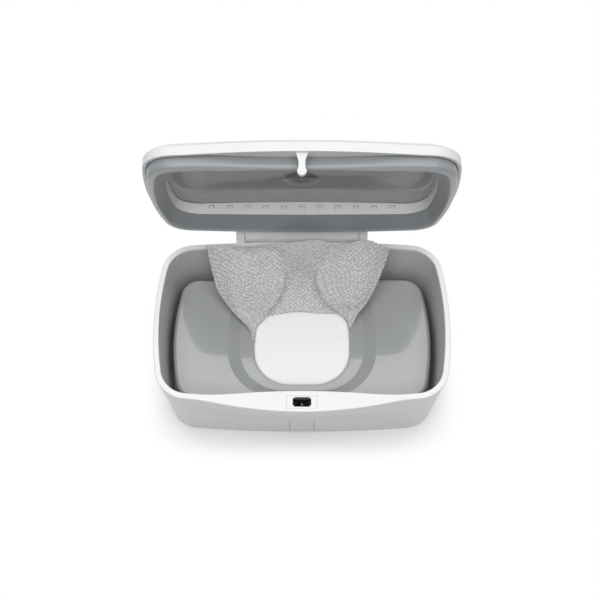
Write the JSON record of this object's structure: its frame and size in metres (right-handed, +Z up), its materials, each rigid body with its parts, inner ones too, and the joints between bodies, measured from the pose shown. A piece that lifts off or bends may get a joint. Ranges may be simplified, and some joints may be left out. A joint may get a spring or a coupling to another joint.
{
  "type": "wipes dispenser",
  "caption": "Pop-up baby wipes dispenser: rimmed tub with weighted plate, spring lid with sealed window, and a front release button.",
  "frame": {"origin": "middle of the foot mat underside, on the surface that the dispenser stands on", "axes": "+Z up, front with the latch and the release button towards -Y, +X to the right seen from the front"},
  "size_m": [0.2398, 0.1704, 0.2406],
  "materials": {
    "white_plastic": "satin white",
    "tub_plastic": "warm grey",
    "frame_plastic": "pale grey",
    "window_plastic": "smoke tint",
    "plate_plastic": "glossy grey",
    "black_plastic": "black",
    "gasket_silicone": "blue grey silicone",
    "mat_rubber": "grey rubber",
    "steel": "bright steel",
    "wipe_cloth": "embossed nonwoven",
    "stack_cloth": "white nonwoven"
  },
  "bodies": {
    "base": {"outer_shell": "white_plastic", "inner_tub": "tub_plastic", "bottom_cover": "tub_plastic", "foot_mat": "mat_rubber", "cover_screws": "steel", "latch_bezel": "white_plastic", "latch_frame": "black_plastic", "jaw_pins": "steel", "jaw_spring_left": "steel", "jaw_spring_right": "steel", "button_pin": "steel", "button_spring": "steel", "hinge_pin": "steel", "torsion_spring_left": "steel", "torsion_spring_right": "steel", "wipes_stack": "stack_cloth"},
    "lid": {"lid_shell": "white_plastic", "lid_window": "window_plastic", "lid_frame": "frame_plastic", "window_snaps": "frame_plastic", "lid_gasket": "gasket_silicone", "latch_hook": "white_plastic", "hinge_arm": "white_plastic"},
    "weight_plate": {"plate_cover": "plate_plastic", "plate_base": "plate_plastic", "plate_weight": "steel", "wipe": "wipe_cloth"},
    "button": {"release_button": "white_plastic"},
    "left_jaw": {"jaw_left": "black_plastic"},
    "right_jaw": {"jaw_right": "black_plastic"}
  },
  "joints": [
    {"name": "lid_hinge", "type": "hinge", "parent": "base", "child": "lid", "pos_m": [0, 0.0809, 0.0864], "axis": [1, 0, 0], "range_deg": [0, 80.7], "stiffness_Nm_per_rad": 0.12, "springref_deg": -34.38, "deforming": ["wipe"]},
    {"name": "button_press", "type": "hinge", "parent": "base", "child": "button", "pos_m": [0, -0.0632, 0.037], "axis": [1, 0, 0], "range_deg": [0, 4.5], "stiffness_Nm_per_rad": 0.5, "springref_deg": -3.44, "deforming": ["button_spring"]},
    {"name": "jaw_left_pivot", "type": "hinge", "parent": "base", "child": "left_jaw", "pos_m": [-0.0052, -0.07, 0.064], "axis": [0, 1, 0], "range_deg": [-10, 0], "deforming": ["jaw_spring_left"]},
    {"name": "jaw_right_pivot", "type": "hinge", "parent": "base", "child": "right_jaw", "pos_m": [0.0052, -0.07, 0.064], "axis": [0, 1, 0], "range_deg": [0, 10], "deforming": ["jaw_spring_right"]},
    {"name": "plate_lift", "type": "slide", "parent": "base", "child": "weight_plate", "axis": [0, 0, 1], "range_m": [0, 0.025]}
  ],
  "couplings": [
    {"joint": "jaw_left_pivot", "follows": "button_press", "ratio": -2.2222},
    {"joint": "jaw_right_pivot", "follows": "button_press", "ratio": 2.2222}
  ]
}
